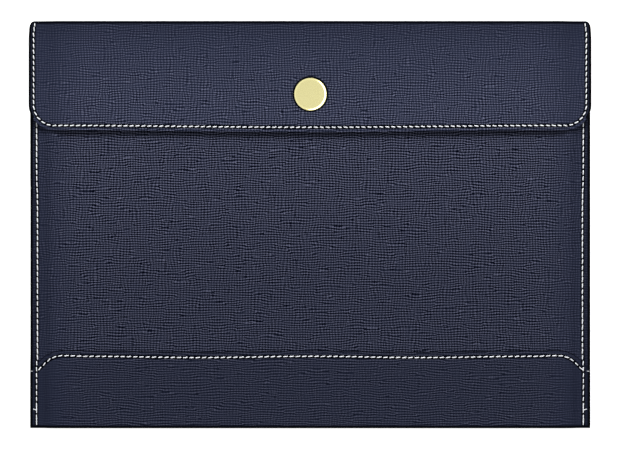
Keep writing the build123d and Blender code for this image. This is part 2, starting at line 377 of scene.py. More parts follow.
def feed(node, inputs):  # links from sockets, or from a node's first one, and constants
    for name, value in dict(inputs).items():
        if isinstance(value, bpy.types.Node):
            value = value.outputs[0]
        if isinstance(value, bpy.types.NodeSocket):
            node.id_data.links.new(value, node.inputs[name])
        else:
            node.inputs[name].default_value = value


def addNode(tree, kind, inputs=(), **settings):  # a node, its settings, and what goes into it
    node = tree.nodes.new("ShaderNode" + kind)
    for name, value in settings.items():
        setattr(node, name, value)
    feed(node, inputs)
    return node


def newMaterial(name):
    material = bpy.data.materials.new(name)
    material.use_nodes = True
    tree = material.node_tree
    tree.nodes.clear()
    add = partial(addNode, tree)
    shader = add("BsdfPrincipled")
    add("OutputMaterial", {"Surface": shader})
    return material, add, shader


def tone(add, shader, pattern, f):  # from dark to light along a pattern, which also stands up by its bump
    colour = add("Mix", {"Factor": pattern, "A": tint(f["dark"]), "B": tint(f["light"])}, data_type="RGBA")
    feed(shader, {"Base Color": colour.outputs["Result"], "Roughness": f["roughness"]})
    if "bump" in f:
        feed(shader, {"Normal": add("Bump", {"Height": pattern, "Distance": f["bump"]})})


leatherFinish = dict(
    rowPitch=1.47 * mm, columnPitch=1.68 * mm,  # pressed cross grain: short wavy rows and fainter columns
    cellRows=3.4, swing=1.7,  # rows that keep step with each other, and how far the waves swing
    driftPatch=14 * mm, drift=1.6 * mm, stretch=0.65,  # pitch and lean drift, and the waves run on
    depthPatch=5 * mm, patchEnds=(0.3, 0.7), shallow=0.5, deep=1.5, level=0.4,  # deeper in some patches
    # the last colour here is painted shade, laid on by edges, folds, grooves and round the snap
    valley="#00010e", slope="#272c3f", top="#787b95", shadePaint="#010206",
    # painted shade in the rows' grooves, and a painted contact shadow round the snap
    grooveEnds=(0.04, 0.22), grooveShade=0.98, snapShadowRun=0.8 * mm, snapShadowFull=0.5 * mm,
    bumpHeight=0.1 * mm, roughness=0.62, specular=0.006)


def leatherMaterial():  # polyurethane film on cloth, grain pressed by a hot roller
    f = leatherFinish
    material, add, shader = newMaterial("pressedFauxLeather")
    laid = {name: add("Attribute", attribute_name=name).outputs
            for name in ("grainPlace", "grainDepth", "pressed", "burnished")}
    place, depth = laid["grainPlace"]["Vector"], laid["grainDepth"]["Vector"]
    patch = add("TexNoise", {"Vector": place, "Scale": 1 / f["driftPatch"], "Detail": 1.0})
    drifted = add("VectorMath", {0: patch.outputs["Color"], 1: (f["drift"],) * 3, 2: place},
                  operation="MULTIPLY_ADD")
    waves = []
    for pitch, heading, along in ((f["columnPitch"], 0.0, (1, f["stretch"], 1)),
                                  (f["rowPitch"], pi / 2, (f["stretch"], 1, 1))):
        drawnOut = add("VectorMath", {0: drifted, 1: along}, operation="MULTIPLY")
        waves.append(add("TexGabor", {"Vector": drawnOut, "Scale": 1 / (f["cellRows"] * pitch),
                                      "Frequency": f["cellRows"], "Orientation": heading}))
    phases = add("CombineXYZ", {0: waves[0].outputs["Phase"], 1: waves[1].outputs["Phase"]})
    turns = add("VectorMath", {0: phases, "Scale": 2 * pi}, operation="SCALE")
    swings = add("VectorMath", {0: turns}, operation="SINE")
    woven = add("VectorMath", {0: swings, 1: depth}, operation="DOT_PRODUCT")
    uneven = add("TexNoise", {"Vector": place, "Scale": 1 / f["depthPatch"], "Detail": 1.0})
    low, high = f["patchEnds"]
    press = add("MapRange", {"Value": uneven.outputs["Fac"], "From Min": low, "From Max": high,
                             "To Min": f["shallow"], "To Max": f["deep"]})
    deepest = add("VectorMath", {0: depth}, operation="LENGTH")
    level = add("Math", {0: deepest.outputs["Value"], 1: f["level"]}, operation="MULTIPLY")
    pressedIn = add("Mix", {"Factor": press, 2: level, 3: woven.outputs["Value"]}, clamp_factor=False)
    # the ramp gives the grain its navy tone, with painted shade in the valleys and painted light on the tops
    grain = add("MapRange", {"Value": pressedIn, "From Min": -f["swing"], "From Max": f["swing"]})
    colour = add("ValToRGB", {"Fac": grain})
    ramp = colour.color_ramp.elements
    ramp[0].color = tint(f["valley"])
    ramp[1].color = tint(f["top"])
    ramp.new(0.5).color = tint(f["slope"])
    fromSnap = add("VectorMath", {0: place, 1: snapPlace}, operation="DISTANCE").outputs["Value"]
    low = capHigh.x + f["snapShadowFull"]  # painted contact shadow round the snap
    snapShadow = add("MapRange", {"Value": fromSnap, "From Min": low, "From Max": low + f["snapShadowRun"],
                                "To Min": 1.0, "To Max": 0.0}, interpolation_type="SMOOTHSTEP")
    low, high = f["grooveEnds"]  # painted shade in the grooves of the rows
    drawn = add("MapRange", {"Value": laid["pressed"]["Fac"], "From Min": low, "From Max": high,
                             "To Max": f["grooveShade"]})
    grooveAndSnapShade = add("Math", {0: drawn, 1: snapShadow}, operation="MAXIMUM")
    # painted shade: edges, folds, the rows' grooves and the snap's contact shadow darken the colour
    shadeMask = add("Math", {0: laid["burnished"]["Fac"], 1: grooveAndSnapShade}, operation="MAXIMUM")
    darkened = add("Mix", {"Factor": shadeMask, "A": colour, "B": tint(f["shadePaint"])}, data_type="RGBA")
    bump = add("Bump", {"Height": grain, "Distance": f["bumpHeight"], "Strength": 1.0})
    feed(shader, {"Base Color": darkened.outputs["Result"], "Normal": bump, "Roughness": f["roughness"],
                  "Specular IOR Level": f["specular"]})
    return material


edgeFinish = dict(dark="#010103", light="#040508", blotch=3 * mm, bump=0.05 * mm, roughness=0.6,
                  specular=0.01)


def edgeMaterial():  # acrylic edge paint, rolled on: dark, smooth, a little uneven
    f = edgeFinish
    material, add, shader = newMaterial("edgePaint")
    place = add("TexCoord").outputs["Object"]
    blotch = add("TexNoise", {"Vector": place, "Scale": 1 / f["blotch"], "Detail": 3.0})
    tone(add, shader, blotch.outputs["Fac"], f)
    feed(shader, {"Specular IOR Level": f["specular"]})
    return material


bandsApart = 0.314  # how far apart the bands of a wave texture are at a scale of 1
liningFinish = dict(thread=0.42 * mm, ribThreads=2.2, ribLean=radians(38), pickShare=0.35, dark="#10121d",
                    light="#262a3c", bump=0.08 * mm, roughness=0.75, sheen=0.03)


def liningMaterial():  # polyester twill: fine slanting ribs with a soft sheen
    f = liningFinish
    material, add, shader = newMaterial("liningTwill")
    place = add("TexCoord").outputs["Object"]
    turned = add("Mapping", {"Vector": place, "Rotation": (0, 0, f["ribLean"])})
    ribs = add("TexWave", {"Vector": turned, "Scale": bandsApart / (f["ribThreads"] * f["thread"]),
                           "Distortion": 1.2, "Detail": 2.0, "Detail Scale": 1.5})
    picks = add("TexWave", {"Vector": place, "Scale": bandsApart / f["thread"], "Distortion": 0.6},
                bands_direction="Y")
    weave = add("Mix", {"Factor": f["pickShare"], 2: ribs.outputs["Fac"], 3: picks.outputs["Fac"]})
    tone(add, shader, weave, f)
    feed(shader, {"Sheen Weight": f["sheen"]})
    return material


threadFinish = dict(twist=0.55 * mm, dark="#f3f6ff", light="#fafcff", bump=0.03 * mm, roughness=0.6)


def threadMaterial():  # bonded polyester, three strands twisted: slanting lines of light
    f = threadFinish
    material, add, shader = newMaterial("twistedPolyesterThread")
    place = add("Attribute", attribute_name="threadPlace").outputs["Vector"]
    strands = add("TexWave", {"Vector": place, "Scale": bandsApart / f["twist"]}, bands_direction="DIAGONAL")
    tone(add, shader, strands.outputs["Fac"], f)
    return material


boardFinish = dict(fibre=0.8 * mm, dark="#0c0d13", light="#181a22", roughness=0.6)


def boardMaterial():  # fibre board, its cut edges painted with the leather's
    f = boardFinish
    material, add, shader = newMaterial("paintedFibreBoard")
    place = add("TexCoord").outputs["Object"]
    fibre = add("TexNoise", {"Vector": place, "Scale": 1 / f["fibre"], "Detail": 4.0})
    tone(add, shader, fibre.outputs["Fac"], f)
    return material


giltFinish = dict(light="#faf2b3", dark="#f4eba9", cloud=4 * mm, line=0.25 * mm, roughness=0.22, uneven=0.06)


def giltMaterial():  # pale gold plating, satin: soft reflections and faint marks of turning
    f = giltFinish
    material, add, shader = newMaterial("paleGoldPlating")
    place = add("TexCoord").outputs["Object"]
    cloud = add("TexNoise", {"Vector": place, "Scale": 1 / f["cloud"], "Detail": 3.0})
    marks = add("TexNoise", {"Vector": place, "Scale": 1 / f["line"], "Detail": 2.0})
    rough = add("MapRange", {"Value": marks.outputs["Fac"], "To Min": f["roughness"] - f["uneven"],
                             "To Max": f["roughness"] + f["uneven"]})
    tone(add, shader, cloud.outputs["Fac"], f)
    feed(shader, {"Roughness": rough, "Metallic": 1.0})
    return material


ferriteFinish = dict(grit=0.3 * mm, dark="#1b1b1d", light="#333336", bump=0.03 * mm, roughness=0.7)


def ferriteMaterial():  # sintered ferrite: dull, dark grey, finely gritty
    f = ferriteFinish
    material, add, shader = newMaterial("sinteredFerrite")
    place = add("TexCoord").outputs["Object"]
    grit = add("TexNoise", {"Vector": place, "Scale": 1 / f["grit"], "Detail": 3.0})
    tone(add, shader, grit.outputs["Fac"], f)
    return material


leather = leatherMaterial()
edgePaint = edgeMaterial()
lining = liningMaterial()
thread = threadMaterial()
board = boardMaterial()
gilt = giltMaterial()
ferrite = ferriteMaterial()
print("materials made:", len(bpy.data.materials))


def dress(piece, *materials):
    piece.data.materials.clear()
    for material in materials:
        piece.data.materials.append(material)


# How much shade is painted on the leather, and how deep its grain is

shadeAndSmoothing = dict(creaseShade=0.98, foldStart=-0.5 * mm, foldFull=0.75 * mm,  # less so on the wall beyond
                 wallLess=0.6, wallStart=1.6 * mm, wallFull=3.2 * mm,
                 sideShade=0.5, sideStart=-0.5 * mm, sideFull=0.7 * mm,
                 baseShade=0.34, lowMore=0.1, lowStart=-60 * mm, lowFull=50 * mm,  # more painted shade on the lower half
                 endsLess=0.3, endsStart=36 * mm, endsFull=10 * mm,
                 smoothRun=30 * mm, smoothPower=1.8)


# painted shade where a fold turns away from the light
def creaseShade(past, fromFace):
    s = shadeAndSmoothing
    dark = s["creaseShade"] * easeBetween(past, s["foldStart"], s["foldFull"])
    return dark * (1 - s["wallLess"] * easeBetween(fromFace, s["wallStart"], s["wallFull"]))


def bodyShadeAt(co):  # painted shade by the edges and folds, and darker towards the bottom
    s = shadeAndSmoothing
    sides = easeBetween(abs(co.x), seamX + s["sideStart"], seamX + s["sideFull"])
    front = riseAt(pocketSection, co.x, skin)[0]
    bottom = creaseShade(bottomHigh.y - co.y, min(co.z, front - co.z))
    top = creaseShade(co.y - foldStartY, co.z)
    low = s["baseShade"] + s["lowMore"] * easeBetween(-co.y, s["lowStart"], s["lowFull"])
    low *= 1 - s["endsLess"] * easeBetween(abs(co.x), halfBody - s["endsStart"], halfBody - s["endsFull"])
    return max(low, s["sideShade"] * sides, bottom, top)


def grainDepthAt(x, halfWidth, least):  # the grain is drawn smooth where the sheet is pulled to its seam
    inward = (halfWidth - abs(x)) / shadeAndSmoothing["smoothRun"]
    return least + (1 - least) * min(1.0, max(0.0, inward)) ** shadeAndSmoothing["smoothPower"]


# Outer leather: the band, round the bottom, up the back and half way round the top

wrapShape = dict(
    bandRise=0.95 * mm, bandCornerRadius=18.1 * mm, bandSlopeRun=11.63 * mm, bandOverhang=6 * mm,
    cornerSteps=10, lap=1.1 * mm, bandLap=0.4 * mm, rowInset=3.35 * mm,
    seamInset=3.75 * mm, seamBow=0.49 * mm, seamLean=0.3 * mm,
    bowStart=(8 * mm, 3 * mm), bowEnd=(12 * mm, 32 * mm),  # below the band's top, and up to the flap
    grooveHalf=1.3 * mm, grooveDepth=0.4 * mm, bandRows=9 * mm, backRows=12 * mm, foldRow=0.6 * mm,
    foldSteps=6, rounding=0.2 * mm, spare=12 * mm,
    edgeWave=0.75 * mm, waveLength=130 * mm, waveRun=22 * mm, cornerRise=0.4 * mm,
    ledRun=1.2 * mm, trims=(0.35 * mm, 0.1 * mm), laps=(0.1 * mm, 0.42 * mm),  # left and right
    waist=(0.2 * mm, -76 * mm, 22 * mm), rows=0.69, columns=0.2, least=0.16)
seamX = halfBody - wrapShape["seamInset"]
bandEdge = bandHigh.y + wrapShape["bandRise"]  # the turned edge swells past its cut line
bandSlopeX = halfBody - wrapShape["bandSlopeRun"]  # the band's ends slope down from here, at 45 degrees
bandRoundRun = wrapShape["bandCornerRadius"] * tan(pi / 8)


def seamAt(side, y):  # the side rows lean to the left, and draw in between band and flap
    s = wrapShape
    start, end = [bandHigh.y - reach for reach in s["bowStart"]], s["bowEnd"]
    drawnIn = easeBetween(y, *start) * (1 - easeBetween(y, *end))
    return seamX - side * s["seamLean"] - s["seamBow"] * drawnIn


def ledAlong(x, y):  # shifts a seam's groove onto its row, and the edge to its trim
    s = wrapShape
    away = abs(abs(x) - seamX) - s["grooveHalf"]
    share = min(1.0, max(0.0, 1 - away / s["ledRun"]))
    side = copysign(1, x)
    drawn, low, high = s["waist"]
    trim = s["trims"][side > 0] - (drawn if side < 0 and low < y < high else 0.0)
    trim *= easeBetween(abs(x), halfBody - s["lap"], halfBody)
    trim -= s["laps"][side > 0] * max(0.0, 1 - abs(abs(x) - halfBody + s["lap"]) / (s["lap"] / 2))
    return side * ((seamAt(side, y) - seamX) * share + trim), 0.0


def seamColumns():  # the section's columns, the grooves of the side seams, and the painted laps
    s = wrapShape
    half = [seamX - s["grooveHalf"], seamX, seamX + s["grooveHalf"], halfBody - s["lap"]]
    clear = s["grooveHalf"] + 2 * s["seamBow"]
    return [x for x in columnsOf(pocketSection) if abs(abs(x) - seamX) > clear] + [-x for x in half] + half


def onSeam(vert):
    return abs(abs(vert.co.x) - seamX) < near


def waveBand(x, y):  # the band's edge was not cut quite straight
    s = wrapShape
    ends = easeBetween(abs(x), s["waveLength"], bandSlopeX - bandRoundRun)
    wave = s["cornerRise"] * ends - s["edgeWave"] * sin(pi * min(1.0, abs(x) / s["waveLength"])) ** 2
    return 0.0, wave * easeBetween(y, bottomHigh.y, bottomHigh.y + s["waveRun"])


def makeOuterLeather():
    s = wrapShape
    wide = halfBody + s["bandOverhang"]
    piece = newSheet("outer_leather", wide, bottomHigh.y - s["spare"], bandEdge, leather, lining, edgePaint)
    roundCorners(piece, bandEdge, wide - bandSlopeX, 1)
    roundCorners(piece, bandEdge, bandRoundRun, s["cornerSteps"])
    insetRow(piece, s["bandLap"], s["rowInset"], s["grooveHalf"], bottomHigh.y)
    cutColumns([halfBody], clear_outer=True)
    cutColumns([-halfBody], clear_inner=True)
    cutRows([bottomHigh.y], clear_inner=True)
    cutColumns(seamColumns())
    cutRows(evenRows(bottomHigh.y, bandEdge, s["bandRows"]) + [bottomHigh.y + s["foldRow"]])
    markPressed(piece, lambda vert: abs(vert.co.x) > seamX + near, 0.0)  # the band's row ends at the seams
    markPressed(piece, onSeam)
    paintWhere(piece, lambda face, middle: abs(middle.x) > halfBody - s["lap"])
    nudge(piece, ledAlong)
    nudge(piece, waveBand)
    liftTo(piece, pocketSection, skin, s["grooveDepth"])
    selectAt(piece, "y", bottomHigh.y)
    extrudeRound(bottomFoldRadius, -1, -1, s["foldSteps"], True)
    extrudeTo(bottomFoldRadius)  # the wall of the bottom, down to where it turns under
    extrudeRound(bottomFoldRadius, 1, -1, s["foldSteps"], False)
    extrudeBy((0, foldStartY - bottomHigh.y, 0))  # the back
    extrudeRound(foldRadius, 1, 1, s["foldSteps"], True)
    extrudeTo(spineMiddleZ)
    cutRows(evenRows(bottomHigh.y, foldStartY, s["backRows"]) + creaseRows)

    def pressBack(vert, layer):  # the seams' grooves on the back
        if vert.co.z < near and bottomHigh.y < vert.co.y < foldStartY:
            vert.co.z += s["grooveDepth"] * vert[layer]

    reshape(piece, pressBack)
    tuckCorners(piece, seamX - s["grooveHalf"] - s["seamBow"])
    faceOutwards(piece, up, lambda middle: middle.z > pocketSection["crownZ"])
    thicken(piece, skin, s["rounding"])

    def unrolled(co):  # flat place on the sheet, counted down from the band's edge
        front = riseAt(pocketSection, co.x, skin)[0]
        if co.y < bottomHigh.y + near and co.z > bottomFoldRadius:
            return co.x, co.y - (front - co.z), 0
        if co.z > 1.5 * skin and co.y < 0:  # on the front, clear of the back
            return co.x, co.y, 0
        return co.x, 2 * bottomLow.y - pocketSection["crownZ"] - co.y - co.z, 0

    def grainDepth(co):
        drawn = grainDepthAt(co.x, halfBody, s["least"])
        return s["columns"] * drawn, s["rows"] * drawn

    layGrain(piece, unrolled, grainDepth, bodyShadeAt)
    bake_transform(piece, "pocket", "spine", start=(0, foldStartY - 2.5 * mm, 0), end=(0, topY - 0.4 * mm, 0))
    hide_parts("back_cover", "bottom_fold", "front_band")
    return piece


outerLeather = makeOuterLeather()
print("outer leather:", len(outerLeather.data.polygons), "faces")


# Front: the panel that the band overlaps

frontShape = dict(lap=1.1 * mm, grooveDepth=0.4 * mm, rounding=0.2 * mm, rowSpacing=9 * mm, rows=1.32,
                  lowRows=1.08, columns=0.68, lowColumns=0.49, lowStart=-50 * mm, lowFull=70 * mm, least=0.27)


def makeFrontLeather():
    s = frontShape
    piece = newSheet("front_leather", halfBody, frontLow.y, frontHigh.y, leather, lining, edgePaint)
    cutColumns(seamColumns())
    cutRows(evenRows(frontLow.y, frontHigh.y, s["rowSpacing"]) + [frontHigh.y - s["lap"]])
    markPressed(piece, onSeam)
    paintWhere(piece, lambda face, middle: max(abs(middle.x) - halfBody, middle.y - frontHigh.y) > -s["lap"])
    nudge(piece, ledAlong)
    liftTo(piece, pocketSection, 0.0, s["grooveDepth"])
    faceOutwards(piece, up)
    thicken(piece, skin, s["rounding"])

    def grainDepth(co):  # pressed less deep towards the band
        down = easeBetween(-co.y, s["lowStart"], s["lowFull"])
        drawn = grainDepthAt(co.x, halfBody, s["least"])
        return (drawn * (s["columns"] + (s["lowColumns"] - s["columns"]) * down),
                drawn * (s["rows"] + (s["lowRows"] - s["rows"]) * down))

    layGrain(piece, lambda co: (co.x, co.y, 0), grainDepth, bodyShadeAt)
    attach(piece, "pocket")
    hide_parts("front_panel")
    return piece


frontLeather = makeFrontLeather()
print("front leather:", len(frontLeather.data.polygons), "faces")


# Flap: its leather, and the other half of the top fold

flapShape = dict(cornerRadius=15 * mm, cornerSteps=14, lap=1.1 * mm, paintFrom=7 * mm, rowInset=2.75 * mm,
                 grooveHalf=1.3 * mm, grooveDepth=0.4 * mm, rowSpacing=8 * mm, foldSteps=6, rounding=0.2 * mm,
                 spare=12 * mm, tuckRun=1 * mm, bow=1.1 * mm, bowHalf=150 * mm,
                 narrowRun=8 * mm, narrowFrom=14 * mm, narrowTo=5 * mm,
                 aside=-0.3 * mm, edges=(0.2 * mm, 0.28 * mm),  # left and right
                 rows=0.74, columns=0.43, least=0.42, fadeRun=45 * mm, fadeLeast=0.42)
# painted shade on the flap: its margins, below its row, a little all over and more towards the fold
flapShade = dict(sideShade=0.5, sideStart=0.2 * mm, sideFull=0.9 * mm, lowShade=0.1, lowRun=1.2 * mm,
                shade=0.07, foldShade=0.17, shadeStart=16 * mm, shadeFull=1.5 * mm)


def bowFlap(x, y):  # the flap hangs a little lower in the middle and narrows to its fold
    s = flapShape
    narrowing = halfFlap - halfBody - topEnds["flare"]
    atEdge = easeBetween(abs(x), halfFlap - s["narrowFrom"], halfFlap - s["narrowTo"])
    nearFold = easeBetween(y, topY - s["narrowRun"], topY)
    across = s["aside"] - copysign(narrowing, x) * atEdge * nearFold
    across += copysign(s["edges"][x > 0], x) * easeBetween(abs(x), halfFlap - s["lap"], halfFlap)
    if abs(x) >= s["bowHalf"]:
        return across, 0.0
    fromFold = max(0.0, foldStartY - y) / (foldStartY - flapLow.y)
    return across, -s["bow"] * cos(pi / 2 * x / s["bowHalf"]) ** 2 * fromFold


def makeFlapLeather():
    s = flapShape
    piece = newSheet("flap_leather", halfFlap, flapLow.y, foldStartY + s["spare"], leather, lining, edgePaint)
    roundCorners(piece, flapLow.y, s["cornerRadius"], s["cornerSteps"])
    insetRow(piece, s["lap"], s["rowInset"], s["grooveHalf"], flapLow.y + s["paintFrom"])
    cutRows([foldStartY], clear_outer=True)
    cutColumns(columnsOf(flapSection))
    cutRows(evenRows(flapLow.y, foldStartY, s["rowSpacing"]) + creaseRows)
    nudge(piece, bowFlap)
    liftTo(piece, flapSection, 0.0, s["grooveDepth"])
    selectAt(piece, "y", foldStartY)
    extrudeRound(foldRadius, 1, -1, s["foldSteps"], True)
    extrudeTo(spineMiddleZ)  # down the spine to meet the outer leather
    tuckCorners(piece, halfFlap - s["rowInset"] - s["grooveHalf"] - s["tuckRun"], s["aside"])

    def backInLine(vert, layer):  # with the outer leather, down the spine
        if vert.co.y > foldStartY:
            vert.co.x -= s["aside"] * (1 - easeBetween(vert.co.z, spineMiddleZ, flapLow.z))

    reshape(piece, backInLine)
    faceOutwards(piece, up, lambda middle: middle.y < foldStartY)
    thicken(piece, skin, s["rounding"])

    def unrolled(co):
        return co.x, co.y + riseAt(flapSection, co.x)[0] - co.z, 0

    def grainDepth(co):  # the grain fades towards the fold as well
        fromFold = min(1.0, max(0.0, (topY - co.y) / s["fadeRun"]))
        drawn = grainDepthAt(co.x, halfFlap, s["least"]) * (s["fadeLeast"] + (1 - s["fadeLeast"]) * fromFold)
        return s["columns"] * drawn, s["rows"] * drawn

    # painted shade, as on the body
    def shadePaint(co):
        w = flapShade
        rowX = halfFlap - s["rowInset"]
        sides = easeBetween(abs(co.x), rowX - w["sideStart"], rowX + w["sideFull"])
        low = easeBetween(flapLow.y + s["rowInset"] - co.y, 0.0, w["lowRun"])
        top = creaseShade(co.y - foldStartY, riseAt(flapSection, co.x)[0] - co.z)
        shade = w["shade"] + w["foldShade"] * easeBetween(co.y, topY - w["shadeStart"], topY - w["shadeFull"])
        return max(w["sideShade"] * sides, w["lowShade"] * low, shade, top)

    layGrain(piece, unrolled, grainDepth, shadePaint)
    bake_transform(piece, "spine", "flap", start=(0, topY - 0.4 * mm, 0), end=(0, foldStartY - 2.5 * mm, 0))
    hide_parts("flap_cover", "top_fold")
    return piece


flapLeather = makeFlapLeather()
print("flap leather:", len(flapLeather.data.polygons), "faces")


# Linings: cloth on the inside of the back and the flap, and inside the front; and the flap's board

liningShape = dict(thickness=0.3 * mm, edgeInset=0.4 * mm, foldSteps=5, rounding=0.05 * mm, tuckRun=6 * mm,
                   stepRun=1 * mm, steps=3, backRows=12 * mm, flapRows=10 * mm, frontRows=14 * mm)
liningStartY = foldStartY - liningShape["steps"] * liningShape["stepRun"]  # they leave their boards here
liningHalf = halfBody - liningShape["edgeInset"]
flapLayerHalf = halfFlap - liningShape["edgeInset"]
flapLayerLow = flapLow.y + liningShape["edgeInset"]


def flapLayer(name, highY, offset, *materials):  # a little short of the leather, left in edit mode
    s = liningShape
    piece = newSheet(name, flapLayerHalf, flapLayerLow, highY, *materials)
    roundCorners(piece, flapLayerLow, flapShape["cornerRadius"] - s["edgeInset"], flapShape["cornerSteps"])
    cutColumns(columnsOf(flapSection))
    cutRows(evenRows(flapLayerLow, highY, s["flapRows"]))
    nudge(piece, bowFlap)
    liftTo(piece, flapSection, offset, swell=False)
    return piece


def foldLining(piece, toward):  # off the board's end onto the leather, and round inside the fold
    s = liningShape
    selectAt(piece, "y", liningStartY)
    for step in range(s["steps"]):
        extrudeBy((0, s["stepRun"], toward * (skin + s["thickness"] - stack) / s["steps"]))
    extrudeRound(foldRadius - skin - s["thickness"], 1, toward, s["foldSteps"], True)
    extrudeTo(spineMiddleZ)


def makeBackLining():
    s = liningShape
    piece = newSheet("back_lining_cloth", liningHalf, liningLow.y, liningStartY, lining, lining, edgePaint)
    cutColumns(columnsOf(pocketSection))
    cutRows(evenRows(liningLow.y, liningStartY, s["backRows"]))
    selectAll()
    bpy.ops.transform.translate(value=(0, 0, stack))
    foldLining(piece, 1)
    tuckCorners(piece, liningHalf - s["tuckRun"])
    faceOutwards(piece, up, lambda middle: middle.y < liningStartY)
    thicken(piece, s["thickness"], s["rounding"])
    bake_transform(piece, "pocket", "spine", start=(0, foldStartY - 2.5 * mm, 0), end=(0, topY - 1.5 * mm, 0))
    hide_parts("back_lining")
    return piece


def makeFlapLining():
    s = liningShape
    piece = flapLayer("flap_lining_cloth", liningStartY, -stack, lining, lining, edgePaint)
    foldLining(piece, -1)

    def narrow(vert, layer):  # on round the fold
        if vert.co.y > liningStartY + near:
            vert.co.x += bowFlap(vert.co.x, vert.co.y)[0] - bowFlap(vert.co.x, liningStartY)[0]

    reshape(piece, narrow)
    tuckCorners(piece, flapLayerHalf - s["tuckRun"], flapShape["aside"])
    faceOutwards(piece, -up, lambda middle: middle.y < liningStartY)
    thicken(piece, s["thickness"], s["rounding"])
    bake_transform(piece, "spine", "flap", start=(0, topY - 1.5 * mm, 0), end=(0, foldStartY - 2.5 * mm, 0))
    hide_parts("flap_lining", "top_fold_lining")
    return piece


def makeFrontLining():
    s = liningShape
    piece = newSheet("front_lining_cloth", liningHalf, frontLow.y, frontHigh.y - s["edgeInset"],
                     lining, lining, edgePaint)
    cutColumns(columnsOf(pocketSection))
    cutRows(evenRows(frontLow.y, frontHigh.y, s["frontRows"]))
    liftTo(piece, pocketSection, -stack, swell=False)
    faceOutwards(piece, -up)
    thicken(piece, s["thickness"], s["rounding"])
    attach(piece, "pocket")
    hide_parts("front_lining")
    return piece


def makeFlapBoard():
    s = liningShape
    highY = foldStartY - s["edgeInset"]
    piece = flapLayer("flap_board", highY, -skin - near, board, board, board)
    faceOutwards(piece, up)
    thicken(piece, stack - skin - s["thickness"] - 2 * near, s["rounding"])
    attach(piece, "flap")
    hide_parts("flap_interlining")
    return piece


linings = [makeBackLining(), makeFlapLining(), makeFrontLining(), makeFlapBoard()]
for node in ("back_interlining", "front_interlining"):
    dress(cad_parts[node], board)
print("linings and the flap's board:", len(linings))


# Thread: each kind of stitch is shaped once, then copied along its rows

stitchShape = dict(height=0.46 * mm, sides=8, sink=0.12 * mm, sway=0.03,  # rings: how far out, width, drop
                   rings=((0.30, 1.0, 0.0), (0.42, 0.86, 0.1 * mm), (0.5, 0.5, 0.5 * mm)))
stitchSizes = dict(flap=(2.65 * mm, 0.73 * mm), side=(2.65 * mm, 0.66 * mm), band=(2.85 * mm, 0.67 * mm),
                   seam=(2.85 * mm, 0.66 * mm), long=(3.3 * mm, 0.66 * mm), foot=(2.65 * mm, 0.58 * mm),
                   tack=(2.3 * mm, 0.5 * mm), fold=(1.9 * mm, 0.66 * mm))  # length and width


def shapeStitch(name, length, width):  # a bar along X whose ends turn down into their holes
    s = stitchShape
    height = width if name == "tack" else s["height"]
    deselectAll()
    bpy.ops.mesh.primitive_cylinder_add(vertices=s["sides"], radius=width / 2, depth=length,
                                        rotation=(0, pi / 2, 0))
    piece = bpy.context.object
    settle()
    enter("EDIT")
    cutColumns([0.0] + [sign * ring[0] * length for ring in s["rings"][:-1] for sign in (-1, 1)])
    bpy.ops.transform.resize(value=(1, 1, height / width), center_override=(0, 0, 0))
    for share, wide, drop in s["rings"]:
        for sign in (-1, 1):
            x = sign * share * length
            selectAt(piece, "x", x)
            bpy.ops.transform.resize(value=(1, wide, wide), center_override=(x, 0, 0))
            bpy.ops.transform.translate(value=(0, 0, -drop))
    enter("OBJECT")
    bpy.ops.object.shade_smooth()
    layValues(piece, "threadPlace", "FLOAT_VECTOR", lambda co: (co.x, atan2(co.z, co.y) * width / 2, 0))
    return piece


def sewStitch(master, point, tangent, normal, slant):  # no two stitches lie quite alike
    side = normal.cross(tangent).normalized()
    turn = slant + random.uniform(-stitchShape["sway"], stitchShape["sway"])
    along = tangent * cos(turn) + side * sin(turn)
    side = normal.cross(along).normalized()
    copy = master.copy()
    copy.data = master.data.copy()
    bpy.context.scene.collection.objects.link(copy)
    copy.matrix_world = Matrix((along, side, normal)).transposed().to_4x4()
    copy.location = point - normal * stitchShape["sink"]
    return copy


def sewRows(name, node, body, **rows):  # places for each kind of stitch, all joined in one piece
    copies = [sewStitch(masters[kind], *place) for kind, places in rows.items() for place in places]
    deselectAll()
    for copy in copies:
        copy.select_set(True)
    bpy.context.view_layer.objects.active = copies[0]
    bpy.ops.object.join()
    piece = bpy.context.object
    settle()
    piece.name = piece.data.name = name
    dress(piece, thread)
    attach(piece, body)
    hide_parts(node)
    return piece


def tracePath(runs, shiftAt, step=0.5 * mm):  # fine points along lines and arcs, shifted as the sheet is
    points = []
    for run in runs:
        if len(run) == 2:
            start, end = Vector(run[0]), Vector(run[1])
            count = ceil((end - start).length / step)
            points += [start.lerp(end, number / count) for number in range(count + 1)]
        else:
            centre, radius, first, sweep = run
            count = ceil(radius * abs(sweep) / step)
            angles = [first + sweep * number / count for number in range(count + 1)]
            points += [Vector(centre) + radius * Vector((cos(angle), sin(angle))) for angle in angles]
    return [point + Vector(shiftAt(*point)) for point in points]


def placesAlong(points, pitch):  # even places on a line of points, each with its heading
    steps = [(end - start).length for start, end in zip(points, points[1:])]
    count = round(sum(steps) / pitch)
    spot, done = 0, 0.0
    for number in range(count):
        reach = (number + 0.5) * sum(steps) / count
        while done + steps[spot] < reach:
            done += steps[spot]
            spot += 1
        heading = (points[spot + 1] - points[spot]).normalized()
        yield points[spot] + heading * (reach - done), heading


def onSection(place, heading, section, offset, flip=1):  # a stitch's place and axes on a rising sheet
    height, slope = riseAt(section, place.x, offset)
    normal = Vector((sin(slope), 0, cos(slope)))
    tangent = Vector((heading.x * cos(slope), heading.y, -heading.x * sin(slope))).normalized()
    return Vector((place.x, place.y, height)), tangent, normal * flip


flapRowShape = dict(pitch=3.5 * mm, sidePitch=3.2 * mm, slant=radians(10), sideStart=3.2 * mm,
                    first=2.2 * mm, firstTilt=radians(12))


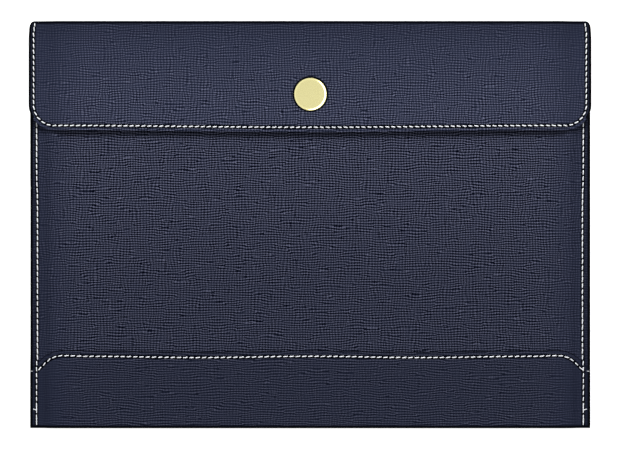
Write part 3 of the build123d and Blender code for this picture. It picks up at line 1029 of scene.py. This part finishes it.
def flapRow():
    r = flapRowShape
    sideX = halfFlap - flapShape["rowInset"]
    rowY = flapLow.y + flapShape["rowInset"]
    radius = flapShape["cornerRadius"] - flapShape["rowInset"]
    startY = topY - r["sideStart"]
    low, sides, firsts = [], [], []
    for places, pitch, runs in (
            (sides, r["sidePitch"], [((-sideX, startY), (-sideX, rowY + radius))]),
            (low, r["pitch"], [((-sideX + radius, rowY + radius), radius, pi, pi / 2),
                               ((-sideX + radius, rowY), (sideX - radius, rowY)),
                               ((sideX - radius, rowY + radius), radius, -pi / 2, pi / 2)]),
            (sides, r["sidePitch"], [((sideX, rowY + radius), (sideX, startY))])):
        for place, heading in placesAlong(tracePath(runs, bowFlap), pitch):
            slant = copysign(r["slant"], -place.x)
            places.append((*onSection(place, heading, flapSection, 0.0), slant))
            places.append((*onSection(place, heading, flapSection, -stack, -1), slant))
    tiltY, tiltZ = sin(r["firstTilt"]), cos(r["firstTilt"])
    for side in (-1, 1):  # the row's first stitch dips over the fold
        place = Vector((side * sideX, topY - r["first"]))
        place += Vector(bowFlap(*place))
        firsts.append((Vector((*place, flapSection["marginZ"])), Vector((0, -tiltZ, tiltY)),
                       Vector((0, tiltY, tiltZ)), 0.0))
    return sewRows("flap_thread", "flap_stitches", "flap", flap=low, side=sides, fold=firsts)


bandRowShape = dict(pitch=3.7 * mm, slant=radians(8), endGap=0.3 * mm)


def bandRow():
    r = bandRowShape
    radius = wrapShape["bandCornerRadius"] - wrapShape["rowInset"]
    rowY = bandEdge - wrapShape["rowInset"]
    cornerX = bandSlopeX - bandRoundRun
    slopeX, slopeY = cornerX + radius * sin(pi / 4), rowY - radius * (1 - cos(pi / 4))
    endX = seamX - r["endGap"]
    endY = slopeY - (endX - slopeX)
    runs = [((-endX, endY), (-slopeX, slopeY)),
            ((-cornerX, rowY - radius), radius, pi * 3 / 4, -pi / 4),
            ((-cornerX, rowY), (cornerX, rowY)),
            ((cornerX, rowY - radius), radius, pi / 2, -pi / 4),
            ((slopeX, slopeY), (endX, endY))]
    faceSide, liningSide = [], []
    for place, heading in placesAlong(tracePath(runs, waveBand), r["pitch"]):
        faceSide.append((*onSection(place, heading, pocketSection, skin), r["slant"]))
        liningSide.append((*onSection(place, heading, pocketSection, -stack, -1), r["slant"]))
    return sewRows("band_thread", "band_stitches", "pocket", band=faceSide + liningSide)


seamRowShape = dict(pitch=3.5 * mm, slant=radians(4), end=1.3 * mm, foldGap=1 * mm, bandReach=0.6 * mm,
                    longShare=0.4, lockedGaps=(0, 2))
tackShapes = (dict(height=33.6 * mm, slant=0.0, sink=0.08 * mm, reach=2.9 * mm),
              dict(height=11 * mm, slant=0.35, sink=0.0, reach=1.18 * mm))


def seamRow(name, node, side):
    r = seamRowShape
    along, outward = Vector((0, 1, 0)), Vector((side, 0, 0))
    slant = side * -r["slant"]
    bandTop = bandEdge - (seamX - bandSlopeX)
    bandTop += waveBand(seamX, bandTop)[1]
    bandTopZ = pocketSection["marginZ"] + skin
    runs = [((side * seamX, bottomLow.y + r["end"]), (side * seamX, foldStartY - r["foldGap"]))]
    onBand, above, longer, tacks = [], [], [], []  # pulled finer through the band; some above it nearly meet
    for place, heading in placesAlong(tracePath(runs, ledAlong), r["pitch"]):
        reach = place.y + stitchSizes["flap"][0] / 2
        isOnBand = place.y < bandTop + r["bandReach"]
        places = onBand if isOnBand else longer if random.random() < r["longShare"] else above
        level = stack if reach > frontHigh.y else bandTopZ if isOnBand else pocketSection["marginZ"]
        places.append((Vector((place.x, place.y, level)), along, up, slant))
        behind = Vector((side * seamAt(side, bottomLow.y), place.y, wrapShape["grooveDepth"]))
        places.append((behind, along, -up, slant))
    for gap in r["lockedGaps"]:  # sewn back over at the foot
        onBand.append(((onBand[2 * gap][0] + onBand[2 * gap + 2][0]) / 2, along, up, slant))
    for tack in tackShapes:
        y = bottomLow.y + tack["height"]
        tackX = side * (seamAt(side, y) + tack["reach"])
        tacks.append((Vector((tackX, y, bandTopZ - tack["sink"])), outward, up, side * tack["slant"]))
        tacks.append((Vector((side * halfBody, y, bandTopZ / 2)), up, outward, 0.0))
    return sewRows(name, node, "pocket", seam=above, foot=onBand, long=longer, tack=tacks)


foldStitches = ((162.4 * mm, 5.9 * mm), (161.8 * mm, 2.6 * mm))  # how far out, and how high


def foldRow():  # the side rows carried round the top fold
    places = []
    for side in (-1, 1):
        for x, height in foldStitches:
            for y, outward in ((topY, 1), (topY - skin - liningShape["thickness"], -1)):
                places.append((Vector((side * x, y, height)), -up, Vector((0, outward, 0)), 0.0))
    return sewRows("fold_thread", "top_fold_stitches", "spine", fold=places)


masters = {name: shapeStitch(name, *size) for name, size in stitchSizes.items()}
threads = [flapRow(), bandRow(), seamRow("left_seam_thread", "left_seam_stitches", -1),
           seamRow("right_seam_thread", "right_seam_stitches", 1), foldRow()]
for master in masters.values():
    bpy.data.objects.remove(master)
print("threads:", len(threads), "rows")


# Snap: a turned cap, ring by ring along its outline

capShape = dict(faceRadius=8.0 * mm, edgeHeight=0.3 * mm, rimSteps=9, postRadius=1.9 * mm,
                clinchRadius=2.6 * mm, clinchHeight=0.3 * mm, rounding=0.08 * mm, ringSides=96)


def turnPiece(name, outline, ringSides, rounding):  # outline: radius and height, from face to foot
    deselectAll()
    radius, height = outline[0]
    bpy.ops.mesh.primitive_circle_add(vertices=ringSides, radius=radius, fill_type="NGON",
                                      location=snapPlace + up * height)
    piece = bpy.context.object
    piece.name = piece.data.name = name
    settle()
    enter("EDIT")
    bpy.ops.mesh.select_mode(type="EDGE")
    selectAll()
    for nextRadius, nextHeight in outline[1:]:
        extrudeBy((0, 0, nextHeight - height))
        share = nextRadius / radius
        bpy.ops.transform.resize(value=(share, share, 1), center_override=snapPlace + up * nextHeight)
        radius, height = nextRadius, nextHeight
    bpy.ops.mesh.edge_face_add()
    selectAll()
    bpy.ops.mesh.normals_make_consistent(inside=False)
    enter("OBJECT")
    roundEdges(piece, rounding, segments=3, sharp=35)
    applyAll(piece)
    bpy.ops.object.shade_smooth_by_angle(angle=radians(40))
    return piece


def makeCap():
    s = capShape
    capRadius = capHigh.x
    clinchTop = capLow.z + s["clinchHeight"]
    drop = capHigh.z - flapHigh.z - s["edgeHeight"]
    run = capRadius - s["faceRadius"]
    roundRadius = (run * run + drop * drop) / (2 * drop)  # an arc that leaves the face level
    sweep = asin(run / roundRadius)
    turns = [sweep * step / s["rimSteps"] for step in range(s["rimSteps"] + 1)]
    rim = [(s["faceRadius"] + roundRadius * sin(turn), capHigh.z - roundRadius * (1 - cos(turn)))
           for turn in turns]
    outline = rim + [(capRadius, flapHigh.z), (s["postRadius"], flapHigh.z), (s["postRadius"], clinchTop),
                     (s["clinchRadius"], clinchTop), (s["clinchRadius"], capLow.z)]
    piece = turnPiece("gold_cap", outline, s["ringSides"], s["rounding"])
    dress(piece, gilt)
    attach(piece, "flap")
    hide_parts("snap_cap")
    return piece


cap = makeCap()
for node, material in (("snap_magnet_case", gilt), ("snap_magnet", ferrite), ("snap_keeper", gilt),
                       ("snap_keeper_rivet", gilt)):
    dress(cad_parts[node], material)
print("snap made:", len(cap.data.polygons), "faces")


# Stage: floor, light and camera

stageShape = dict(floorSize=16.0, floorDrop=0.05 * mm, floorWhite="#f4f4f4", floorRoughness=0.9,
                  floorSpecular=0.1, floorGlow=0.8, worldGrey=0.46, lowWhite=1.0, highWhite=0.79,
                  skyEnds=(0.7, 0.98))


def seenRays(add):  # rays that come from the camera, a mirror or a glass
    rays = add("LightPath").outputs
    seen = add("Math", {0: rays["Is Camera Ray"], 1: rays["Is Glossy Ray"]}, operation="MAXIMUM")
    return add("Math", {0: seen, 1: rays["Is Transmission Ray"]}, operation="MAXIMUM")


def makeFloor():  # white paper
    s = stageShape
    deselectAll()
    bpy.ops.mesh.primitive_plane_add(size=s["floorSize"], location=(0, 0, -s["floorDrop"]))
    floor = bpy.context.object
    floor.name = "floor"
    material, add, shader = newMaterial("paperFloor")
    glow = add("Math", {0: seenRays(add), 1: s["floorGlow"]}, operation="MULTIPLY")
    feed(shader, {"Base Color": tint(s["floorWhite"]), "Roughness": s["floorRoughness"],
                  "Specular IOR Level": s["floorSpecular"], "Emission Color": (1, 1, 1, 1),
                  "Emission Strength": glow})
    dress(floor, material)


def makeWorld():  # white where it is seen or mirrored, dimmer as a light
    s = stageShape
    world = bpy.data.worlds.new("studio")
    bpy.context.scene.world = world
    world.use_nodes = True
    add = partial(addNode, world.node_tree)
    upward = add("SeparateXYZ", {0: add("TexCoord").outputs["Generated"]}).outputs["Z"]
    low, high = s["skyEnds"]
    white = add("MapRange", {"Value": upward, "From Min": low, "From Max": high,
                             "To Min": s["lowWhite"], "To Max": s["highWhite"]})
    strength = add("MapRange", {"Value": seenRays(add), "To Min": s["worldGrey"], "To Max": white})
    feed(world.node_tree.nodes["Background"], {"Color": (1, 1, 1, 1), "Strength": strength})


lampShape = dict(  # the key lights; the panel only shows as a gleam on the metal
    key=dict(place=(0.0, 1.95, 2.29), aim=(0, 0.02, 0), wide=2.5, high=1.27, power=88.5,
             hideFrom="visible_glossy"),
    panel=dict(place=(0.42, -0.06, 0.46), aim=(0, 0.077, 0.01), wide=4.6, high=0.45, power=30.0,
               hideFrom="visible_diffuse"))


def makeLamps():
    for name, s in lampShape.items():
        bpy.ops.object.light_add(type="AREA", location=s["place"])
        lamp = bpy.context.object
        lamp.name = name + "_lamp"
        lamp.data.shape = "RECTANGLE"
        lamp.data.size, lamp.data.size_y = s["wide"], s["high"]
        lamp.data.energy = s["power"]
        setattr(lamp, s["hideFrom"], False)
        lamp.rotation_euler = (Vector(s["aim"]) - Vector(s["place"])).to_track_quat("-Z", "Y").to_euler()


cameraShape = dict(height=4.0, viewWidth=365.4 * mm, x=-0.26 * mm, y=-0.2 * mm, viewPlane=8 * mm, sensor=36,
                   clipEnd=100)


def makeCamera():  # straight above, and as wide as the photograph at the height of the front
    s = cameraShape
    bpy.ops.object.camera_add(location=(s["x"], s["y"], s["height"]), rotation=(0, 0, 0))
    camera = bpy.context.object
    camera.data.sensor_width = s["sensor"]
    camera.data.lens = s["sensor"] * (s["height"] - s["viewPlane"]) / s["viewWidth"]
    camera.data.clip_end = s["clipEnd"]
    bpy.context.scene.camera = camera


makeFloor()
makeWorld()
makeLamps()
makeCamera()
bpy.context.scene.view_settings.view_transform = "Standard"
print("stage set")
